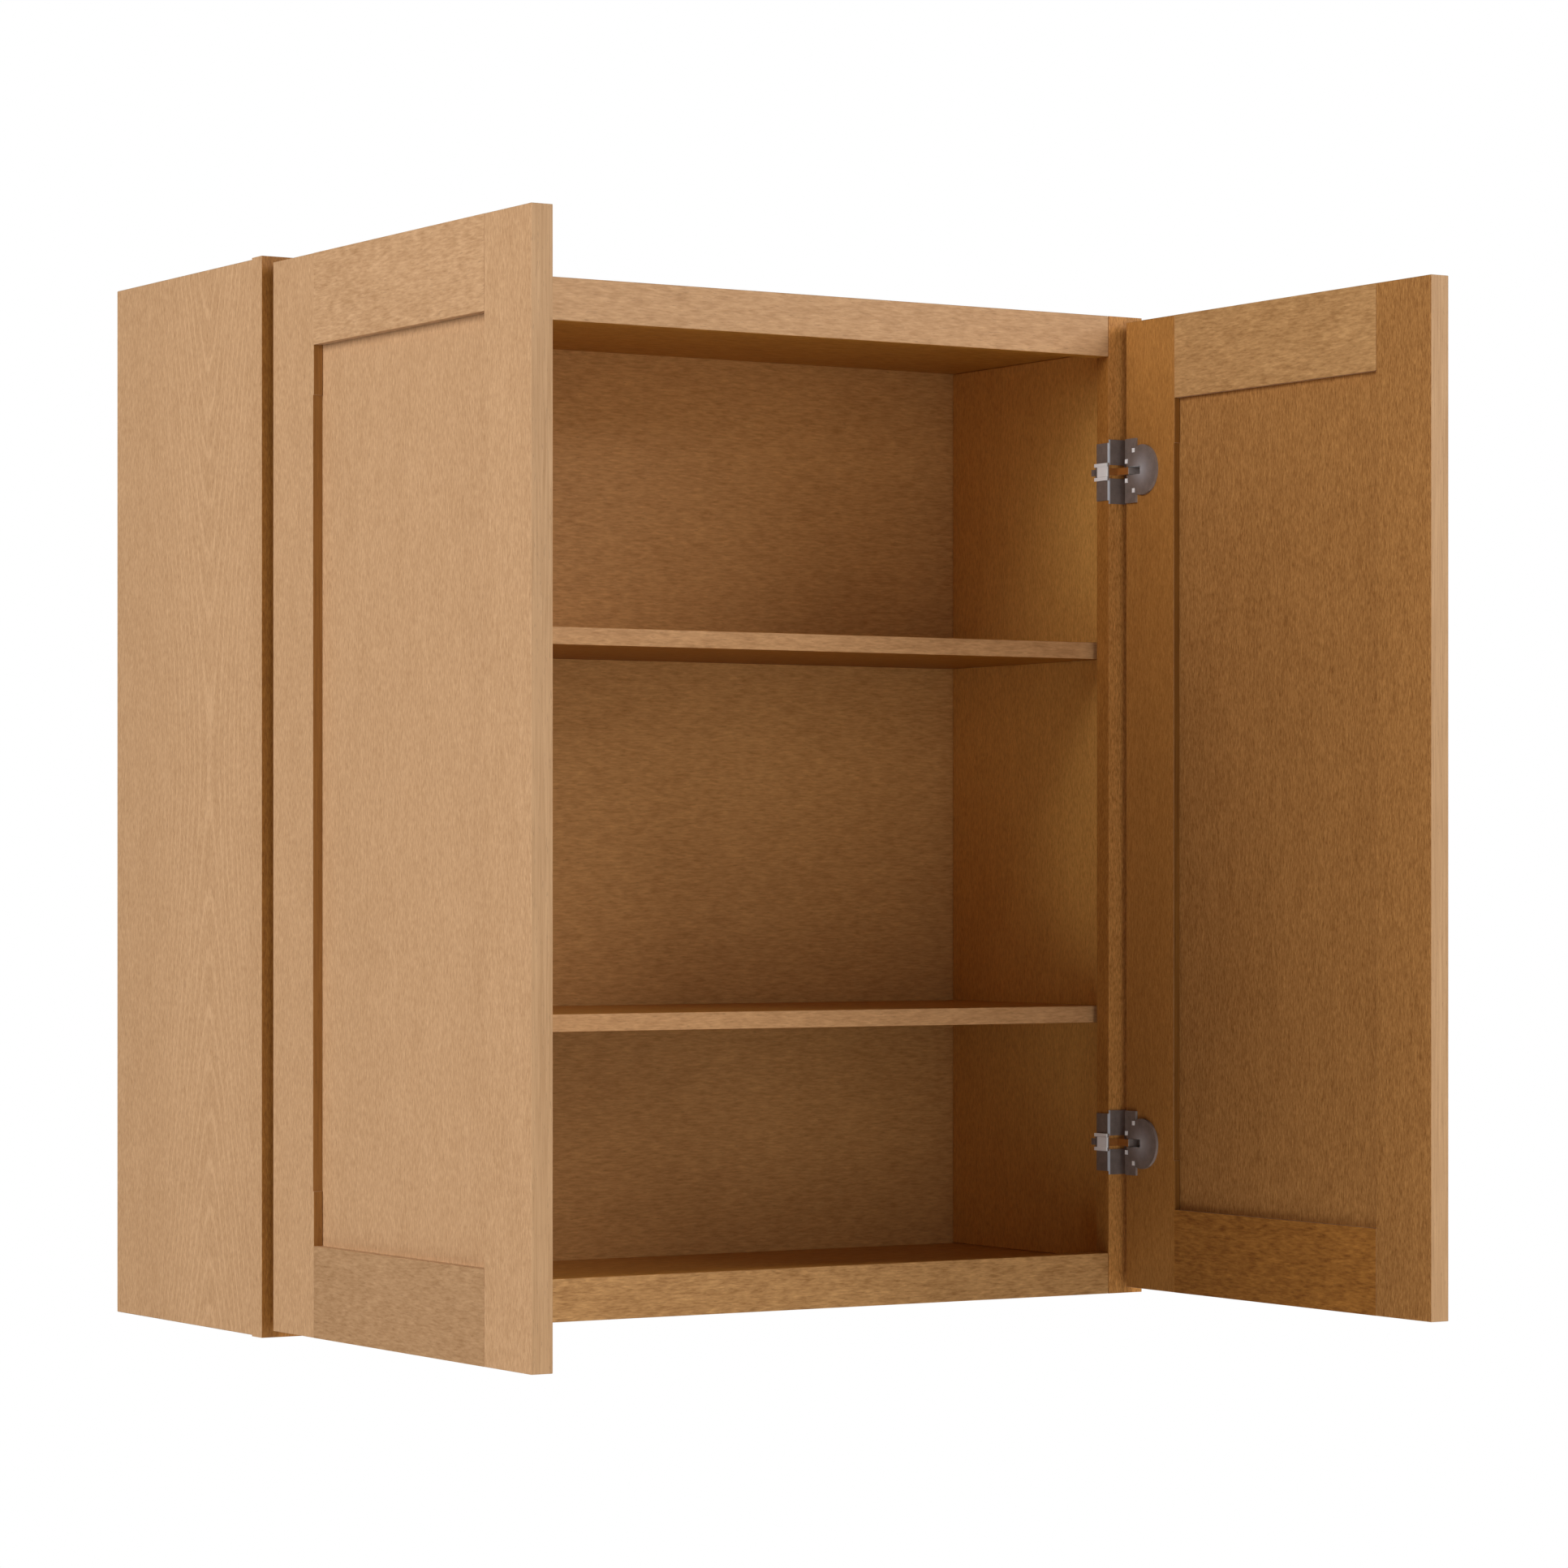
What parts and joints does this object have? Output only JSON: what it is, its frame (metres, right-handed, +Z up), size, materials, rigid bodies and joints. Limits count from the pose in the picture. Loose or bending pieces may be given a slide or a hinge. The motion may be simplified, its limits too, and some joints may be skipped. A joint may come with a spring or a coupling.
{
  "type": "hanging wall cabinet",
  "caption": "Framed hanging wall cabinet with full-overlay recessed-panel doors on cup hinges and loose shelves, stained wood.",
  "frame": {"origin": "on the wall plane, at the centre of the upper hanging rail's rear face", "axes": "+Z up, +Y into the wall, +X to the right seen from the room; doors and face frame face -Y"},
  "size_m": [0.9144, 0.7638, 0.9144],
  "materials": {
    "case_wood": "satin",
    "frame_wood": "satin",
    "door_wood": "satin",
    "door_panel_wood": "satin",
    "back_wood": "satin",
    "shelf_wood": "satin",
    "hinge_steel": "satin",
    "bright_steel": "bright plated",
    "screw_steel": "zinc plated",
    "support_steel": "nickel plated"
  },
  "bodies": {
    "cabinet": {"back_panel": "back_wood", "bottom_frame_rail": "frame_wood", "bottom_panel": "case_wood", "hinge_frame_screws": "screw_steel", "left_frame_stile": "frame_wood", "left_lower_hinge_adjuster": "bright_steel", "left_lower_hinge_arm": "hinge_steel", "left_lower_hinge_mount": "hinge_steel", "left_side_panel": "case_wood", "left_upper_hinge_adjuster": "bright_steel", "left_upper_hinge_arm": "hinge_steel", "left_upper_hinge_mount": "hinge_steel", "lower_hanging_rail": "case_wood", "lower_shelf_supports": "support_steel", "right_frame_stile": "frame_wood", "right_lower_hinge_adjuster": "bright_steel", "right_lower_hinge_arm": "hinge_steel", "right_lower_hinge_mount": "hinge_steel", "right_side_panel": "case_wood", "right_upper_hinge_adjuster": "bright_steel", "right_upper_hinge_arm": "hinge_steel", "right_upper_hinge_mount": "hinge_steel", "top_frame_rail": "frame_wood", "top_panel": "case_wood", "upper_hanging_rail": "case_wood", "upper_shelf_supports": "support_steel"},
    "left_door": {"left_door_bottom_rail": "door_wood", "left_door_free_stile": "door_wood", "left_door_hinge_screws": "screw_steel", "left_door_hinge_stile": "door_wood", "left_door_panel": "door_panel_wood", "left_door_top_rail": "door_wood", "left_lower_hinge_cup": "hinge_steel", "left_lower_hinge_pin": "bright_steel", "left_lower_hinge_spring": "bright_steel", "left_upper_hinge_cup": "hinge_steel", "left_upper_hinge_pin": "bright_steel", "left_upper_hinge_spring": "bright_steel"},
    "right_door": {"right_door_bottom_rail": "door_wood", "right_door_free_stile": "door_wood", "right_door_hinge_screws": "screw_steel", "right_door_hinge_stile": "door_wood", "right_door_panel": "door_panel_wood", "right_door_top_rail": "door_wood", "right_lower_hinge_cup": "hinge_steel", "right_lower_hinge_pin": "bright_steel", "right_lower_hinge_spring": "bright_steel", "right_upper_hinge_cup": "hinge_steel", "right_upper_hinge_pin": "bright_steel", "right_upper_hinge_spring": "bright_steel"},
    "upper_shelf": {"upper_shelf": "shelf_wood"},
    "lower_shelf": {"lower_shelf": "shelf_wood"}
  },
  "joints": [
    {"name": "left_door_swing", "type": "hinge", "parent": "cabinet", "child": "left_door", "pos_m": [-0.44407, -0.3213, 0], "axis": [0, 0, -1], "range_deg": [-90, 15]},
    {"name": "right_door_swing", "type": "hinge", "parent": "cabinet", "child": "right_door", "pos_m": [0.44407, -0.3213, 0], "axis": [0, 0, 1], "range_deg": [-90, 15]},
    {"name": "upper_shelf_lift", "type": "slide", "parent": "cabinet", "child": "upper_shelf", "axis": [0, 0, 1], "range_m": [0, 0.03]},
    {"name": "lower_shelf_lift", "type": "slide", "parent": "cabinet", "child": "lower_shelf", "axis": [0, 0, 1], "range_m": [0, 0.03]}
  ]
}
